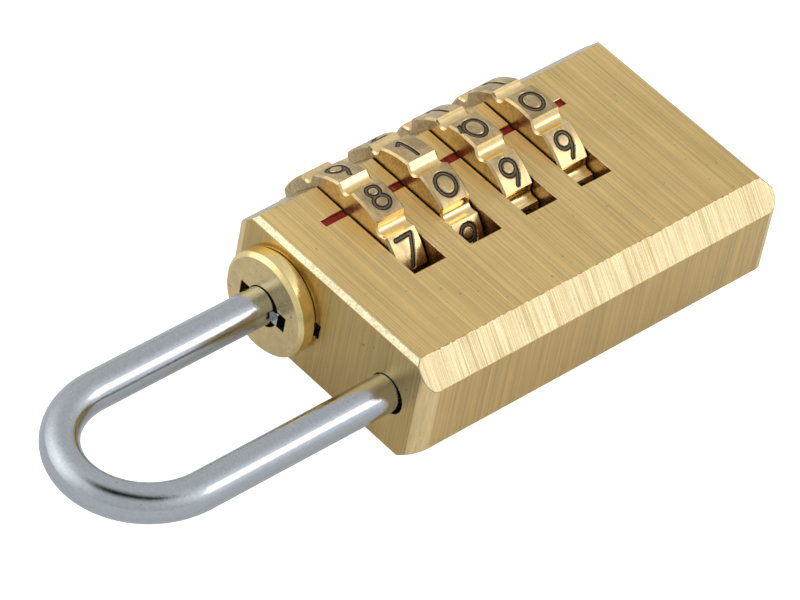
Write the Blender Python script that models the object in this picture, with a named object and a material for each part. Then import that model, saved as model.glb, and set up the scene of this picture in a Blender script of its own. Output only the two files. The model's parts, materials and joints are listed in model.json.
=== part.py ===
"""Four-dial brass combination padlock, lying on its back.

The origin is the centre of the plain end face of the body. +X runs across the width, away from
the dials, +Y along the length, away from the shackle, and +Z out of the face that is read.
Depths into the body are measured from its shackle end, and station() turns them into Y.
"""

import math

import bmesh
import bpy
from mathutils import Matrix, Vector

MM = 0.001

# Body
BODY_WIDTH = 20.0 * MM
BODY_LENGTH = 33.6 * MM
BODY_THICKNESS = 9.07 * MM
FACE_CHAMFER_WIDTH = 1.76 * MM
FRONT_CHAMFER_DEPTH = 1.99 * MM
BACK_CHAMFER_DEPTH = 1.57 * MM
CORNER_RADIUS = 1.05 * MM
SHACKLE_END_BEVEL = 0.36 * MM
PLAIN_END_BEVEL = 0.9 * MM

# Axis of the long leg, and, a little off it, those of the dials and of the collar
AXIS_X = -4.85 * MM
AXIS_Z = -0.15 * MM
DIAL_AXIS_X = -5.05 * MM
COLLAR_X = -4.75 * MM
COLLAR_Z = -0.22 * MM
PLAIN_LEG_X = 6.2 * MM

# Dials and the slots that they turn in
DIAL_COUNT = 4
DIAL_PITCH = 5.25 * MM
FIRST_DIAL_DEPTH = 7.04 * MM
SLOT_WIDTH = 2.92 * MM
SLOT_WALL_X = 1.93 * MM
DIAL_WIDTH = 2.72 * MM
DIAL_RADIUS = 6.52 * MM
DIGITS = 10
DIGIT_STEP = math.tau / DIGITS
PAD_HALF_ANGLE = math.radians(12.1)
FLUTE_DEPTH = 0.44 * MM
FLUTE_STEP = 0.11 * MM
FLUTE_STEP_PART = 0.12
FLUTE_WALL_PART = 0.45
FLUTE_WALL_DEPTH = 0.37 * MM
DIAL_BORE_RADIUS = 3.6 * MM
DIAL_NOTCH_RADIUS = 4.2 * MM
DIAL_NOTCH_HALF_WIDTH = 0.6 * MM
CLUTCH_PLANE = -0.05 * MM
# where a number pad of each dial stands, turned from +Z towards +X
DIAL_REST_DEGREES = (11.8, 22.8, -2.0, -0.8)

# Painted index groove
INDEX_X = -5.21 * MM
INDEX_WIDTH = 0.64 * MM
INDEX_DEPTH = 0.15 * MM
INDEX_START = 3.56 * MM
INDEX_END = 26.24 * MM

# Bore for the long leg, its keyway, and the blind hole of the plain leg
BORE_RADIUS = 3.6 * MM
BORE_DEPTH = 31.0 * MM
KEYWAY_REACH = 4.15 * MM
KEYWAY_HALF_WIDTH = 0.62 * MM
KEYWAY_DEPTH = 26.0 * MM
PLAIN_HOLE_X = 6.29 * MM
PLAIN_HOLE_Z = -0.2 * MM
PLAIN_HOLE_RADIUS = 1.53 * MM
PLAIN_HOLE_DEPTH = 4.8 * MM

# Shackle
LEG_RADIUS = 1.39 * MM
SHACKLE_TOP = -22.53 * MM
BEND_RATIO = 1.12
PLAIN_LEG_END = 4.2 * MM
LONG_LEG_END = 28.0 * MM
LEG_CHAMFER = 0.3 * MM
LUG_REACH = 2.2 * MM
LUG_WIDTH = 1.0 * MM
LUG_LENGTH = 1.2 * MM
TOP_LUG_START = -1.7 * MM
TOP_LUG_REACH = 1.8 * MM
LIFT = DIAL_PITCH

# Collar round the long leg
COLLAR_RADIUS = 3.94 * MM
COLLAR_NECK_RADIUS = 3.73 * MM
COLLAR_HEIGHT = 1.55 * MM
COLLAR_BEVEL = 0.30 * MM
COLLAR_NECK_HEIGHT = 0.26 * MM
COLLAR_SHANK_RADIUS = 3.5 * MM
COLLAR_SHANK_END = 4.38 * MM
COLLAR_BORE_END = 4.41 * MM
COLLAR_BORE_RADIUS = 1.56 * MM
COLLAR_GUIDE_END = 1.4 * MM
LUG_NOTCH_REACH = 2.3 * MM
LUG_NOTCH_WIDTH = 1.25 * MM

# Clutch sleeves
SLEEVE_LENGTH = 5.2 * MM
SLEEVE_RADIUS = 3.45 * MM
SLEEVE_WEB = 1.1 * MM
SLEEVE_BORE_RADIUS = 1.66 * MM
SLEEVE_SLOT_REACH = 2.5 * MM
CHAMBER_RADIUS = 2.56 * MM
TOOTH_REACH = 4.05 * MM
TOOTH_WIDTH = 0.96 * MM
TOOTH_LENGTH = 0.8 * MM
TOOTH_ROOT = 0.3 * MM
LUG_BELOW_WEB = 1.05 * MM

# Parts at the closed end of the bore
SEAT_THICKNESS = 0.7 * MM
SEAT_BORE_RADIUS = 2.62 * MM
SPRING_WIRE_RADIUS = 0.25 * MM
SPRING_RADIUS = 3.0 * MM
SPRING_TURNS = 4.5
STOP_RING_RADIUS = 2.2 * MM
STOP_RING_THICKNESS = 0.7 * MM
STOP_GROOVE_RADIUS = 1.0 * MM
STOP_RING_GAP = 1.7 * MM

# Small parts that hold the collar and click the dials
PIN_RADIUS = 0.4 * MM
PIN_DEPTH = 2.9 * MM
PIN_INNER_REACH = 2.65 * MM
KEY_START = 1.2 * MM
KEY_END = 4.2 * MM
KEY_INNER_REACH = 2.85 * MM
LEAF_THICKNESS = 0.18 * MM
LEAF_WIDTH = 2.2 * MM
LEAF_BEND = 0.3 * MM
LEAF_BACK_HEIGHT = 3.1 * MM
LEAF_TAIL = (0.62 * MM, 0.45 * MM)
LEAF_KINK = 0.5 * MM
DETENT_ANGLE = math.radians(123.0)

# Clearances
FIT_GAP = 0.05 * MM
OVERLAP = 0.01 * MM
CUT_MARGIN = 1.0 * MM
ROUND_SIDES = 32

HALF_WIDTH = BODY_WIDTH / 2
HALF_THICKNESS = BODY_THICKNESS / 2


def station(depth):
    """Y of a point this far into the body from its shackle end."""
    return depth - BODY_LENGTH


def dial_depth(index):
    return FIRST_DIAL_DEPTH + index * DIAL_PITCH


def sleeve_start(index):
    return dial_depth(index) - SLEEVE_LENGTH / 2


def make_material(name, colour, roughness, metallic):
    material = bpy.data.materials.new(name)
    material.use_nodes = True
    shader = material.node_tree.nodes["Principled BSDF"]
    shader.inputs["Base Color"].default_value = (*colour, 1.0)
    shader.inputs["Roughness"].default_value = roughness
    shader.inputs["Metallic"].default_value = metallic
    return material


def make_object(name, mesh_builder, location=(0, 0, 0), material=None):
    """An object whose faces point out, smooth except over sharp edges."""
    bmesh.ops.recalc_face_normals(mesh_builder, faces=mesh_builder.faces)
    mesh = bpy.data.meshes.new(name)
    mesh_builder.to_mesh(mesh)
    mesh_builder.free()
    mesh.shade_smooth()
    mesh.set_sharp_from_angle(angle=math.radians(30))
    obj = bpy.data.objects.new(name, mesh)
    obj.location = location
    if material:
        mesh.materials.append(material)
    bpy.context.scene.collection.objects.link(obj)
    return obj


def boolean(target, tool, operation="DIFFERENCE"):
    """Leaves the tool in the scene as a wire guide."""
    tool.hide_render = True
    tool.display_type = "WIRE"
    modifier = target.modifiers.new(tool.name, "BOOLEAN")
    modifier.operation = operation
    modifier.solver = "EXACT"
    modifier.object = tool


def add_prism(builder, outline, direction, start, end):
    """A closed outline in the plane across direction ("x", "y" or "z"), extruded along it.

    An outline's points are (x, z) along y, (x, y) along z, and (y, z) along x.
    """
    place = {
        "x": lambda point, along: (along, point[0], point[1]),
        "y": lambda point, along: (point[0], along, point[1]),
        "z": lambda point, along: (point[0], point[1], along),
    }[direction]
    near = [builder.verts.new(place(point, start)) for point in outline]
    far = [builder.verts.new(place(point, end)) for point in outline]
    count = len(outline)
    for i in range(count):
        j = (i + 1) % count
        builder.faces.new((near[i], near[j], far[j], far[i]))
    builder.faces.new(near)
    builder.faces.new(reversed(far))


def prism(name, outline, direction, start, end, location=(0, 0, 0), material=None):
    builder = bmesh.new()
    add_prism(builder, outline, direction, start, end)
    return make_object(name, builder, location, material)


def rectangle(low_a, high_a, low_b, high_b):
    return [(low_a, low_b), (high_a, low_b), (high_a, high_b), (low_a, high_b)]


def circle(radius, sides=ROUND_SIDES, centre=(0.0, 0.0)):
    """Points round a circle in X and Z, from +Z towards +X."""
    turns = [math.tau * i / sides for i in range(sides)]
    return [(centre[0] + radius * math.sin(t), centre[1] + radius * math.cos(t)) for t in turns]


def lathe(name, profile, location, material=None, sides=ROUND_SIDES):
    """A closed profile of (radius, y) points away from the axis, turned round Y."""
    builder = bmesh.new()
    rings = [
        [builder.verts.new((x, y, z)) for x, z in circle(radius, sides)] for radius, y in profile
    ]
    for ring, following in zip(rings, rings[1:] + rings[:1]):
        for i in range(sides):
            j = (i + 1) % sides
            builder.faces.new((ring[i], ring[j], following[j], following[i]))
    return make_object(name, builder, location, material)


def sweep(builder, path, radii, sides):
    """A capped round bar along a path, with its own radius at each point of the path."""
    rings = []
    normal = Vector((0, 0, 1))
    for i, (point, radius) in enumerate(zip(path, radii)):
        before = path[max(i - 1, 0)]
        after = path[min(i + 1, len(path) - 1)]
        tangent = (after - before).normalized()
        normal = (normal - tangent * normal.dot(tangent)).normalized()
        side = tangent.cross(normal)
        rings.append(
            [
                builder.verts.new(
                    point
                    + radius * math.cos(math.tau * k / sides) * normal
                    + radius * math.sin(math.tau * k / sides) * side
                )
                for k in range(sides)
            ]
        )
    for ring, following in zip(rings, rings[1:]):
        for k in range(sides):
            j = (k + 1) % sides
            builder.faces.new((ring[k], ring[j], following[j], following[k]))
    builder.faces.new(rings[0])
    builder.faces.new(reversed(rings[-1]))


def body_section():
    """The body across its length: flat faces front and back, joined to the sides by chamfers."""
    flat = HALF_WIDTH - FACE_CHAMFER_WIDTH
    front_shoulder = HALF_THICKNESS - FRONT_CHAMFER_DEPTH
    back_shoulder = BACK_CHAMFER_DEPTH - HALF_THICKNESS
    return [
        (-flat, HALF_THICKNESS),
        (flat, HALF_THICKNESS),
        (HALF_WIDTH, front_shoulder),
        (HALF_WIDTH, back_shoulder),
        (flat, -HALF_THICKNESS),
        (-flat, -HALF_THICKNESS),
        (-HALF_WIDTH, back_shoulder),
        (-HALF_WIDTH, front_shoulder),
    ]


def rounded_plan(steps=6):
    """The body seen from the front, with its four corners rounded."""
    points = []
    corners = ((1, 0), (1, 1), (-1, 1), (-1, 0))
    for quarter, (side, plain_end) in enumerate(corners):
        centre_x = side * (HALF_WIDTH - CORNER_RADIUS)
        centre_y = -CORNER_RADIUS if plain_end else CORNER_RADIUS - BODY_LENGTH
        for i in range(steps + 1):
            turn = math.radians(90) * (quarter - 1 + i / steps)
            points.append(
                (
                    centre_x + CORNER_RADIUS * math.cos(turn),
                    centre_y + CORNER_RADIUS * math.sin(turn),
                )
            )
    return points


def bevelled_side():
    """The body seen from the side: the shackle end's front edge and the plain end are bevelled."""
    return [
        (-BODY_LENGTH, HALF_THICKNESS - SHACKLE_END_BEVEL),
        (-BODY_LENGTH + SHACKLE_END_BEVEL, HALF_THICKNESS),
        (-PLAIN_END_BEVEL, HALF_THICKNESS),
        (0, HALF_THICKNESS - PLAIN_END_BEVEL),
        (0, PLAIN_END_BEVEL - HALF_THICKNESS),
        (-PLAIN_END_BEVEL, -HALF_THICKNESS),
        (-BODY_LENGTH, -HALF_THICKNESS),
    ]


def make_body(brass):
    beyond = HALF_THICKNESS + CUT_MARGIN
    body = prism("body", body_section(), "y", -BODY_LENGTH, 0, material=brass)
    boolean(body, prism("body_plan", rounded_plan(), "z", -beyond, beyond), "INTERSECT")
    wide = HALF_WIDTH + CUT_MARGIN
    boolean(body, prism("body_side", bevelled_side(), "x", -wide, wide), "INTERSECT")

    slots = bmesh.new()
    for index in range(DIAL_COUNT):
        middle = station(dial_depth(index))
        outline = rectangle(-wide, SLOT_WALL_X, middle - SLOT_WIDTH / 2, middle + SLOT_WIDTH / 2)
        add_prism(slots, outline, "z", -beyond, beyond)
    boolean(body, make_object("dial_slots", slots))

    outside = station(-CUT_MARGIN)
    collar_bore = prism("collar_bore", circle(BORE_RADIUS), "y", outside, station(COLLAR_BORE_END))
    collar_bore.location = (COLLAR_X, 0, COLLAR_Z)
    boolean(body, collar_bore)
    sleeve_bore_start = station(COLLAR_BORE_END - CUT_MARGIN)
    bore = prism("sleeve_bore", circle(BORE_RADIUS), "y", sleeve_bore_start, station(BORE_DEPTH))
    bore.location = (DIAL_AXIS_X, 0, AXIS_Z)
    boolean(body, bore)
    keyway_outline = rectangle(0, KEYWAY_REACH, -KEYWAY_HALF_WIDTH, KEYWAY_HALF_WIDTH)
    keyway = prism("keyway", keyway_outline, "y", outside, station(KEYWAY_DEPTH))
    keyway.location = (COLLAR_X, 0, COLLAR_Z)
    boolean(body, keyway)
    plain_hole = prism(
        "plain_leg_hole", circle(PLAIN_HOLE_RADIUS), "y", outside, station(PLAIN_HOLE_DEPTH)
    )
    plain_hole.location = (PLAIN_HOLE_X, 0, PLAIN_HOLE_Z)
    boolean(body, plain_hole)

    index_outline = rectangle(
        INDEX_X - INDEX_WIDTH / 2,
        INDEX_X + INDEX_WIDTH / 2,
        station(INDEX_START),
        station(INDEX_END),
    )
    floor = HALF_THICKNESS - INDEX_DEPTH
    boolean(body, prism("index_groove", index_outline, "z", floor, beyond))

    pin_outline = circle(PIN_RADIUS + FIT_GAP, 16, (COLLAR_X, station(PIN_DEPTH)))
    boolean(body, prism("pin_hole", pin_outline, "z", -beyond, COLLAR_Z - COLLAR_BORE_RADIUS))
    return body


def make_collar(brass):
    """The flanged bush that guides the long leg, with a lug notch on either side."""
    profile = [
        (COLLAR_BORE_RADIUS, -COLLAR_HEIGHT),
        (COLLAR_RADIUS - COLLAR_BEVEL, -COLLAR_HEIGHT),
        (COLLAR_RADIUS, COLLAR_BEVEL - COLLAR_HEIGHT),
        (COLLAR_RADIUS, -COLLAR_NECK_HEIGHT - FIT_GAP),
        (COLLAR_NECK_RADIUS, -COLLAR_NECK_HEIGHT / 2 - FIT_GAP),
        (COLLAR_NECK_RADIUS, -FIT_GAP),
        (COLLAR_SHANK_RADIUS, -FIT_GAP),
        (COLLAR_SHANK_RADIUS, COLLAR_SHANK_END),
        (CHAMBER_RADIUS, COLLAR_SHANK_END),
        (CHAMBER_RADIUS, COLLAR_GUIDE_END),
        (COLLAR_BORE_RADIUS, COLLAR_GUIDE_END),
    ]
    collar = lathe("collar", profile, (COLLAR_X, station(0), COLLAR_Z), brass, 48)

    half = LUG_NOTCH_WIDTH / 2
    notch_outline = rectangle(-LUG_NOTCH_REACH, LUG_NOTCH_REACH, -half, half)
    above = station(-COLLAR_HEIGHT - CUT_MARGIN)
    below = station(COLLAR_GUIDE_END + CUT_MARGIN / 2)
    notch = prism("lug_notches", notch_outline, "y", above, below)
    notch.location = (COLLAR_X, 0, COLLAR_Z)
    boolean(collar, notch)

    pin_outline = circle(PIN_RADIUS + FIT_GAP, 16, (COLLAR_X, station(PIN_DEPTH)))
    pin_end = COLLAR_Z - PIN_INNER_REACH + FIT_GAP
    boolean(collar, prism("collar_pin_hole", pin_outline, "z", -HALF_THICKNESS, pin_end))

    half = KEYWAY_HALF_WIDTH
    key_outline = rectangle(KEY_INNER_REACH - FIT_GAP, KEYWAY_REACH, -half, half)
    slot_start = station(KEY_START - FIT_GAP)
    slot_end = station(COLLAR_SHANK_END + CUT_MARGIN)
    key_slot = prism("collar_key_slot", key_outline, "y", slot_start, slot_end)
    key_slot.location = (COLLAR_X, 0, COLLAR_Z)
    boolean(collar, key_slot)
    return collar


def make_collar_key(steel):
    half = KEYWAY_HALF_WIDTH - FIT_GAP
    outline = rectangle(KEY_INNER_REACH, KEYWAY_REACH - FIT_GAP, -half, half)
    length = KEY_END - KEY_START
    place = (COLLAR_X, station(KEY_START), COLLAR_Z)
    return prism("collar_key", outline, "y", 0, length, place, steel)


def make_collar_pin(steel):
    low = FIT_GAP - HALF_THICKNESS
    high = COLLAR_Z - PIN_INNER_REACH
    place = (COLLAR_X, station(PIN_DEPTH), 0)
    return prism("collar_pin", circle(PIN_RADIUS, 16), "z", low, high, place, steel)


def lug_places():
    """Start and reach of each lug: the guide lug, then one under each sleeve's web."""
    places = [(TOP_LUG_START, TOP_LUG_REACH)]
    for index in range(DIAL_COUNT):
        places.append((sleeve_start(index) + SLEEVE_WEB + LUG_BELOW_WEB, LUG_REACH))
    return places


def stop_ring_depth():
    """The ring meets the last sleeve's web just after the shackle reaches its full lift."""
    return sleeve_start(DIAL_COUNT - 1) + SLEEVE_WEB + LIFT + 2 * FIT_GAP


def shackle_path(bend_steps=18):
    """Stations down the long leg, round the bend and up the plain leg, as (point, radius)."""
    groove_start = stop_ring_depth() - FIT_GAP
    groove_end = stop_ring_depth() + STOP_RING_THICKNESS + FIT_GAP
    bend_radius = (PLAIN_LEG_X - AXIS_X) / 2
    bend_height = bend_radius * BEND_RATIO
    bend_depth = SHACKLE_TOP + bend_height
    long_leg = [
        (LONG_LEG_END, LEG_RADIUS - LEG_CHAMFER),
        (LONG_LEG_END - LEG_CHAMFER, LEG_RADIUS),
        (groove_end + OVERLAP, LEG_RADIUS),
        (groove_end, STOP_GROOVE_RADIUS),
        (groove_start, STOP_GROOVE_RADIUS),
        (groove_start - OVERLAP, LEG_RADIUS),
    ]
    stations = [(Vector((AXIS_X, station(depth), AXIS_Z)), r) for depth, r in long_leg]
    middle = (AXIS_X + PLAIN_LEG_X) / 2
    for i in range(bend_steps + 1):
        turn = math.pi * i / bend_steps
        point = Vector(
            (
                middle - bend_radius * math.cos(turn),
                station(bend_depth - bend_height * math.sin(turn)),
                AXIS_Z,
            )
        )
        stations.append((point, LEG_RADIUS))
    plain_leg = [(PLAIN_LEG_END - LEG_CHAMFER, LEG_RADIUS), (PLAIN_LEG_END, LEG_RADIUS - LEG_CHAMFER)]
    stations += [(Vector((PLAIN_LEG_X, station(depth), AXIS_Z)), r) for depth, r in plain_leg]
    return stations


def make_shackle(chrome):
    builder = bmesh.new()
    stations = shackle_path()
    sweep(builder, [point for point, _ in stations], [radius for _, radius in stations], 24)
    shackle = make_object("shackle", builder, material=chrome)

    # the object's origin is where the long leg enters the body, on the line that it slides along
    origin = Vector((AXIS_X, station(0), AXIS_Z))
    shackle.data.transform(Matrix.Translation(-origin))
    shackle.location = origin

    lugs = bmesh.new()
    half = LUG_WIDTH / 2
    for depth, reach in lug_places():
        outline = rectangle(LEG_RADIUS / 2, reach, -half, half)
        add_prism(lugs, outline, "y", station(depth), station(depth + LUG_LENGTH))
    boolean(shackle, make_object("lugs", lugs, (AXIS_X, 0, AXIS_Z)), "UNION")
    return shackle


def make_stop_ring(steel):
    """An open ring that snaps into the groove at the end of the long leg."""
    opening = math.asin(STOP_RING_GAP / 2 / STOP_RING_RADIUS)
    inner_opening = math.asin(STOP_RING_GAP / 2 / (STOP_GROOVE_RADIUS + FIT_GAP))
    steps = 24

    def arc(radius, half_opening):
        start = -math.pi / 2 + half_opening
        span = math.tau - 2 * half_opening
        turns = [start + span * i / steps for i in range(steps + 1)]
        return [(radius * math.sin(t), radius * math.cos(t)) for t in turns]

    outline = arc(STOP_RING_RADIUS, opening) + arc(STOP_GROOVE_RADIUS + FIT_GAP, inner_opening)[::-1]
    place = (AXIS_X, station(stop_ring_depth()), AXIS_Z)
    return prism("shackle_stop_ring", outline, "y", 0, STOP_RING_THICKNESS, place, steel)


def dial_outline():
    """Ten number pads on the rim, with a stepped hollow flute between each pair."""
    flute_half = DIGIT_STEP / 2 - PAD_HALF_ANGLE
    step_turn = PAD_HALF_ANGLE + FLUTE_STEP_PART * flute_half
    wall_turn = PAD_HALF_ANGLE + FLUTE_WALL_PART * flute_half
    shape = [(PAD_HALF_ANGLE * part, 0.0) for part in (-1, -1 / 3, 1 / 3, 1)]
    shape += [
        (step_turn, FLUTE_STEP),
        (wall_turn, FLUTE_WALL_DEPTH),
        (DIGIT_STEP / 2, FLUTE_DEPTH),
        (DIGIT_STEP - wall_turn, FLUTE_WALL_DEPTH),
        (DIGIT_STEP - step_turn, FLUTE_STEP),
    ]
    points = []
    for digit in range(DIGITS):
        for turn, depth in shape:
            radius = DIAL_RADIUS - depth
            angle = digit * DIGIT_STEP + turn
            points.append((radius * math.sin(angle), radius * math.cos(angle)))
    return points


def notched_bore():
    """The dial's bore, with ten notches for the sleeve's tooth, the first towards +X."""
    half_turn = math.asin(DIAL_NOTCH_HALF_WIDTH / DIAL_BORE_RADIUS)
    points = []
    for digit in range(DIGITS):
        middle = math.pi / 2 + digit * DIGIT_STEP
        across = Vector((math.cos(middle), -math.sin(middle))) * DIAL_NOTCH_HALF_WIDTH
        outwards = Vector((math.sin(middle), math.cos(middle))) * DIAL_NOTCH_RADIUS
        start = middle - half_turn
        end = middle + half_turn
        land = (middle + DIGIT_STEP - half_turn) - end
        points.append((DIAL_BORE_RADIUS * math.sin(start), DIAL_BORE_RADIUS * math.cos(start)))
        points.append(tuple(outwards - across))
        points.append(tuple(outwards + across))
        points.append((DIAL_BORE_RADIUS * math.sin(end), DIAL_BORE_RADIUS * math.cos(end)))
        mid_land = end + land / 2
        points.append((DIAL_BORE_RADIUS * math.sin(mid_land), DIAL_BORE_RADIUS * math.cos(mid_land)))
    return points


def make_dial(index, brass):
    name = f"dial_{index + 1}"
    place = (DIAL_AXIS_X, station(dial_depth(index)), AXIS_Z)
    half = DIAL_WIDTH / 2
    turned = Matrix.Rotation(-math.radians(DIAL_REST_DEGREES[index]), 2)
    outline = [tuple(turned @ Vector(point)) for point in dial_outline()]
    dial = prism(name, outline, "y", -half, half, place, brass)
    notches = prism(
        f"{name}_notches", notched_bore(), "y", -half - CUT_MARGIN, CLUTCH_PLANE, place
    )
    boolean(dial, notches)
    relief = prism(
        f"{name}_relief",
        circle(DIAL_NOTCH_RADIUS + FIT_GAP),
        "y",
        CLUTCH_PLANE - OVERLAP,
        half + CUT_MARGIN,
        place,
    )
    boolean(dial, relief)
    return dial


def make_clutch_sleeve(index, brass):
    """A cup with a web that the lug passes only at one angle, and a tooth that drives it."""
    name = f"clutch_sleeve_{index + 1}"
    place = (DIAL_AXIS_X, station(sleeve_start(index)), AXIS_Z)
    profile = [
        (SLEEVE_BORE_RADIUS, 0),
        (SLEEVE_RADIUS, 0),
        (SLEEVE_RADIUS, SLEEVE_LENGTH),
        (CHAMBER_RADIUS, SLEEVE_LENGTH),
        (CHAMBER_RADIUS, SLEEVE_WEB),
        (SLEEVE_BORE_RADIUS, SLEEVE_WEB),
    ]
    sleeve = lathe(name, profile, place, brass)
    half = LUG_NOTCH_WIDTH / 2
    slot_outline = rectangle(0, SLEEVE_SLOT_REACH, -half, half)
    slot = prism(f"{name}_slot", slot_outline, "y", -CUT_MARGIN, SLEEVE_WEB + CUT_MARGIN / 2, place)
    boolean(sleeve, slot)
    half = TOOTH_WIDTH / 2
    tooth_end = SLEEVE_LENGTH / 2 + 2 * CLUTCH_PLANE
    tooth_outline = rectangle(SLEEVE_RADIUS - TOOTH_ROOT, TOOTH_REACH, -half, half)
    tooth = prism(f"{name}_tooth", tooth_outline, "y", tooth_end - TOOTH_LENGTH, tooth_end, place)
    boolean(sleeve, tooth, "UNION")
    return sleeve


def make_spring_seat(steel):
    last_sleeve_end = sleeve_start(DIAL_COUNT - 1) + SLEEVE_LENGTH
    profile = [
        (SEAT_BORE_RADIUS, 0),
        (SLEEVE_RADIUS, 0),
        (SLEEVE_RADIUS, SEAT_THICKNESS),
        (SEAT_BORE_RADIUS, SEAT_THICKNESS),
    ]
    place = (DIAL_AXIS_X, station(last_sleeve_end + FIT_GAP), AXIS_Z)
    return lathe("spring_seat", profile, place, steel)


def make_return_spring(steel):
    """An open coil between the seat and the bottom of the bore, with a closed turn at each end."""
    seat_end = sleeve_start(DIAL_COUNT - 1) + SLEEVE_LENGTH + FIT_GAP + SEAT_THICKNESS
    start = seat_end + FIT_GAP + SPRING_WIRE_RADIUS
    end = BORE_DEPTH - FIT_GAP - SPRING_WIRE_RADIUS
    closed = 2 * SPRING_WIRE_RADIUS + FIT_GAP
    open_turns = SPRING_TURNS - 2
    points_per_turn = 14
    path = []
    for i in range(int(SPRING_TURNS * points_per_turn) + 1):
        turns = i / points_per_turn
        if turns < 1:
            depth = start + closed * turns
        elif turns < 1 + open_turns:
            depth = start + closed + (end - start - 2 * closed) * (turns - 1) / open_turns
        else:
            depth = end - closed * (SPRING_TURNS - turns)
        turn = math.tau * turns
        offset = Vector((SPRING_RADIUS * math.sin(turn), 0, SPRING_RADIUS * math.cos(turn)))
        path.append(offset + Vector((0, depth - start, 0)))
    builder = bmesh.new()
    sweep(builder, path, [SPRING_WIRE_RADIUS] * len(path), 6)
    return make_object("return_spring", builder, (DIAL_AXIS_X, station(start), AXIS_Z), steel)


def strip_outline(points, thickness):
    """The outline of a thin strip that follows the points, mitred where it bends."""
    left, right = [], []
    for i, point in enumerate(points):
        before = points[max(i - 1, 0)]
        after = points[min(i + 1, len(points) - 1)]
        arrive = (point - before).normalized() if i else (after - point).normalized()
        leave = (after - point).normalized() if i < len(points) - 1 else arrive
        mitre = Vector((-(arrive.y + leave.y), arrive.x + leave.x)).normalized()
        across = Vector((-arrive.y, arrive.x))
        reach = thickness / 2 / mitre.dot(across)
        left.append(tuple(point + mitre * reach))
        right.append(tuple(point - mitre * reach))
    return left + right[::-1]


def make_detent_spring(index, steel):
    """A leaf against the slot's end wall, whose nose bears on the dial behind the lock."""
    nose_radius = DIAL_RADIUS + LEAF_THICKNESS / 2 + FIT_GAP
    nose = Vector(
        (
            DIAL_AXIS_X + nose_radius * math.sin(DETENT_ANGLE),
            AXIS_Z + nose_radius * math.cos(DETENT_ANGLE),
        )
    )
    wall = SLOT_WALL_X - LEAF_THICKNESS / 2 - FIT_GAP
    foot = LEAF_THICKNESS - HALF_THICKNESS
    points = [
        Vector((wall, foot + LEAF_BACK_HEIGHT)),
        Vector((wall, foot + LEAF_BEND)),
        Vector((wall - LEAF_BEND, foot)),
        Vector((nose.x + LEAF_KINK, foot + FIT_GAP)),
        nose,
        nose + Vector(LEAF_TAIL),
    ]
    outline = strip_outline(points, LEAF_THICKNESS)
    middle = station(dial_depth(index))
    builder = bmesh.new()
    add_prism(builder, outline, "y", middle - LEAF_WIDTH / 2, middle + LEAF_WIDTH / 2)
    return make_object(f"detent_spring_{index + 1}", builder, material=steel)


def main():
    for obj in list(bpy.data.objects):
        bpy.data.objects.remove(obj, do_unlink=True)

    brass = make_material("body_brass", (0.50, 0.38, 0.20), 0.34, 1.0)
    collar_brass = make_material("collar_brass", (0.55, 0.44, 0.26), 0.24, 1.0)
    dial_brass = make_material("dial_brass", (0.62, 0.48, 0.28), 0.26, 1.0)
    sleeve_brass = make_material("sleeve_brass", (0.60, 0.45, 0.22), 0.40, 1.0)
    chrome = make_material("shackle_chrome", (0.72, 0.74, 0.78), 0.10, 1.0)
    spring_steel = make_material("spring_steel", (0.42, 0.42, 0.44), 0.35, 1.0)
    zinc_steel = make_material("zinc_steel", (0.56, 0.57, 0.58), 0.42, 1.0)

    make_body(brass)
    make_collar(collar_brass)
    make_collar_key(zinc_steel)
    make_collar_pin(zinc_steel)
    make_shackle(chrome)
    make_stop_ring(spring_steel)
    make_spring_seat(zinc_steel)
    make_return_spring(spring_steel)
    for index in range(DIAL_COUNT):
        make_dial(index, dial_brass)
        make_clutch_sleeve(index, sleeve_brass)
        make_detent_spring(index, spring_steel)


main()
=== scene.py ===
"""Looks of the four-dial brass combination padlock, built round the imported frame."""

import json
import math

import bmesh
import bpy
import numpy as np
from mathutils import Matrix, Vector


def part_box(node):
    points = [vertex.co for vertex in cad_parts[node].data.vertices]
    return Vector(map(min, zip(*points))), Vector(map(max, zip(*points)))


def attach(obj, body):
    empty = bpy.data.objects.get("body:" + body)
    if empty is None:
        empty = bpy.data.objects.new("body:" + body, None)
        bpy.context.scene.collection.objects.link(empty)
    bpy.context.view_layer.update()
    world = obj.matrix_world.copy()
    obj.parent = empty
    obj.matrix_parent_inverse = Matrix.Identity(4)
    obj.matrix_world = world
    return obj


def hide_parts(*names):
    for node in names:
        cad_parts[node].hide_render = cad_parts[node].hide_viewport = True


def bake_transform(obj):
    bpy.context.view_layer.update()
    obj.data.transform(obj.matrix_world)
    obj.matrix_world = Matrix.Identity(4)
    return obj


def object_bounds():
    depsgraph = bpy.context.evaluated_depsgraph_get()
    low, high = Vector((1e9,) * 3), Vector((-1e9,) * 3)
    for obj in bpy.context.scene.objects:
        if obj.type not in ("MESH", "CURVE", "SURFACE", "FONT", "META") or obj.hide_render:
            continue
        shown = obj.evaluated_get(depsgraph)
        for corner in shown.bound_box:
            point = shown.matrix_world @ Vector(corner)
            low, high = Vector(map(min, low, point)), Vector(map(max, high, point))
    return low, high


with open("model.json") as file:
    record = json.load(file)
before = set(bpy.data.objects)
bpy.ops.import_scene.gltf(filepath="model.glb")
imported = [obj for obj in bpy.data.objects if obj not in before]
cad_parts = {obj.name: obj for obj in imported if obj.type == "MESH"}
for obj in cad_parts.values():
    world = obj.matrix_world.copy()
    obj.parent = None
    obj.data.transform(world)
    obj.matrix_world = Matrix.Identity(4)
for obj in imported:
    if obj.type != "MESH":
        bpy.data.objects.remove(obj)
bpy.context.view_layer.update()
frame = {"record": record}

MM = 0.001
DIAL_COUNT = 4
WELD = 0.0005 * MM
BUMP_DEPTH = 0.02 * MM
rng = np.random.default_rng(7)

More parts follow.
